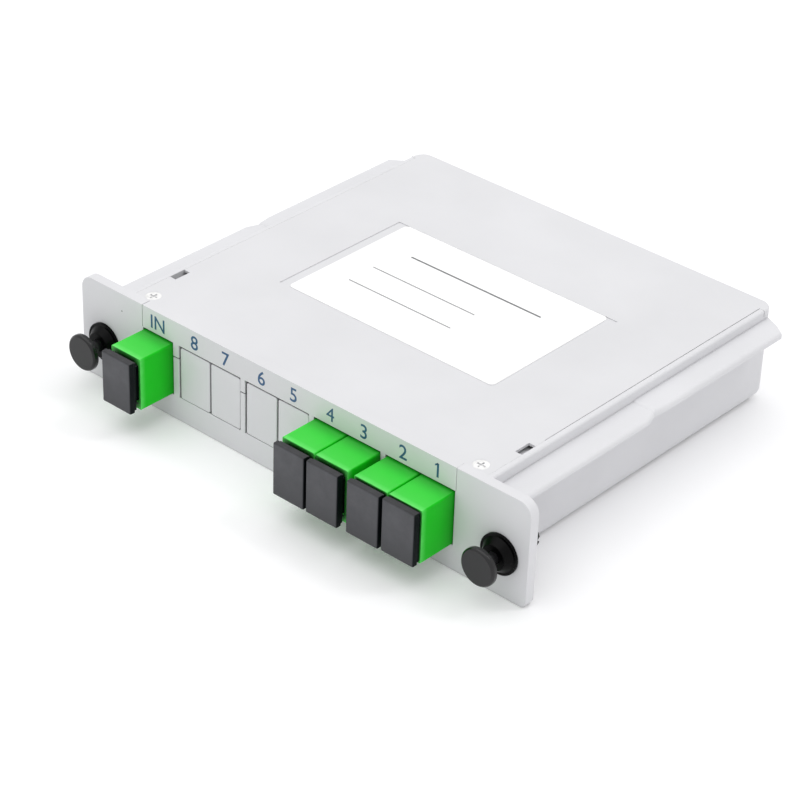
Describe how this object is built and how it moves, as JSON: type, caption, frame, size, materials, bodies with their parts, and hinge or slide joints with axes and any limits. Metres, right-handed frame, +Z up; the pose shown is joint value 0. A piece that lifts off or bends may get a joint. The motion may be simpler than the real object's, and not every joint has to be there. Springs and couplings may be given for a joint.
{
  "type": "plc fibre splitter",
  "caption": "Flat plug-in optical splitter cassette: light grey case with ears, push latches, green capped fibre adapters and blank plates on the front.",
  "frame": {"origin": "centre of the bounding box's bottom face, below the middle of the object on the bench", "axes": "+X along the front plate towards output port 1, +Y from the front plate to the rear, +Z up from the bench"},
  "size_m": [0.13, 0.1124, 0.025],
  "materials": {
    "case_plastic": "fine-textured light grey ABS",
    "cover_plastic": "fine-textured light grey ABS",
    "blank_plastic": "smooth light grey ABS",
    "adapter_green": "bright green moulded plastic",
    "holder_plastic": "natural white plastic",
    "ceramic": "polished white ceramic",
    "cap_rubber": "satin black soft plastic",
    "plug_plastic": "green connector housing",
    "boot_rubber": "soft green boot",
    "fibre_jacket": "white buffer",
    "chip_steel": "bare steel",
    "pad_foam": "soft white pad",
    "latch_black": "glossy black nylon",
    "screw_metal": "bright plated steel",
    "label_paper": "white coated paper"
  },
  "bodies": {
    "case": {"base_shell": "case_plastic", "top_cover": "cover_plastic", "cover_screws": "screw_metal", "label": "label_paper", "blank_plate_5": "blank_plastic", "blank_plate_6": "blank_plastic", "blank_plate_7": "blank_plastic", "blank_plate_8": "blank_plastic", "adapter_body_0": "adapter_green", "sleeve_holder_0": "holder_plastic", "split_sleeve_0": "ceramic", "inner_plug_0": "plug_plastic", "ferrule_0": "ceramic", "strain_boot_0": "boot_rubber", "fibre_tail_0": "fibre_jacket", "adapter_body_1": "adapter_green", "sleeve_holder_1": "holder_plastic", "split_sleeve_1": "ceramic", "inner_plug_1": "plug_plastic", "ferrule_1": "ceramic", "strain_boot_1": "boot_rubber", "fibre_tail_1": "fibre_jacket", "adapter_body_2": "adapter_green", "sleeve_holder_2": "holder_plastic", "split_sleeve_2": "ceramic", "inner_plug_2": "plug_plastic", "ferrule_2": "ceramic", "strain_boot_2": "boot_rubber", "fibre_tail_2": "fibre_jacket", "adapter_body_3": "adapter_green", "sleeve_holder_3": "holder_plastic", "split_sleeve_3": "ceramic", "inner_plug_3": "plug_plastic", "ferrule_3": "ceramic", "strain_boot_3": "boot_rubber", "fibre_tail_3": "fibre_jacket", "adapter_body_4": "adapter_green", "sleeve_holder_4": "holder_plastic", "split_sleeve_4": "ceramic", "inner_plug_4": "plug_plastic", "ferrule_4": "ceramic", "strain_boot_4": "boot_rubber", "fibre_tail_4": "fibre_jacket", "fibre_coil": "fibre_jacket", "splitter_chip": "chip_steel", "chip_pad": "pad_foam", "chip_lead_in": "fibre_jacket", "chip_lead_out": "fibre_jacket", "fibre_clips": "holder_plastic", "latch_grommet_left": "latch_black", "latch_grommet_right": "latch_black"},
    "cap_input": {"dust_cap_0": "cap_rubber"},
    "cap_output_1": {"dust_cap_1": "cap_rubber"},
    "cap_output_2": {"dust_cap_2": "cap_rubber"},
    "cap_output_3": {"dust_cap_3": "cap_rubber"},
    "cap_output_4": {"dust_cap_4": "cap_rubber"},
    "latch_knob_left": {"latch_plunger_left": "latch_black"},
    "latch_knob_right": {"latch_plunger_right": "latch_black"}
  },
  "joints": [
    {"name": "cap_input_pull", "type": "slide", "parent": "case", "child": "cap_input", "axis": [0, -1, 0], "range_m": [0, 0.015]},
    {"name": "cap_output_1_pull", "type": "slide", "parent": "case", "child": "cap_output_1", "axis": [0, -1, 0], "range_m": [0, 0.015]},
    {"name": "cap_output_2_pull", "type": "slide", "parent": "case", "child": "cap_output_2", "axis": [0, -1, 0], "range_m": [0, 0.015]},
    {"name": "cap_output_3_pull", "type": "slide", "parent": "case", "child": "cap_output_3", "axis": [0, -1, 0], "range_m": [0, 0.015]},
    {"name": "cap_output_4_pull", "type": "slide", "parent": "case", "child": "cap_output_4", "axis": [0, -1, 0], "range_m": [0, 0.015]},
    {"name": "latch_left_push", "type": "slide", "parent": "case", "child": "latch_knob_left", "axis": [0, 1, 0], "range_m": [0, 0.0025]},
    {"name": "latch_right_push", "type": "slide", "parent": "case", "child": "latch_knob_right", "axis": [0, 1, 0], "range_m": [0, 0.0025]}
  ]
}
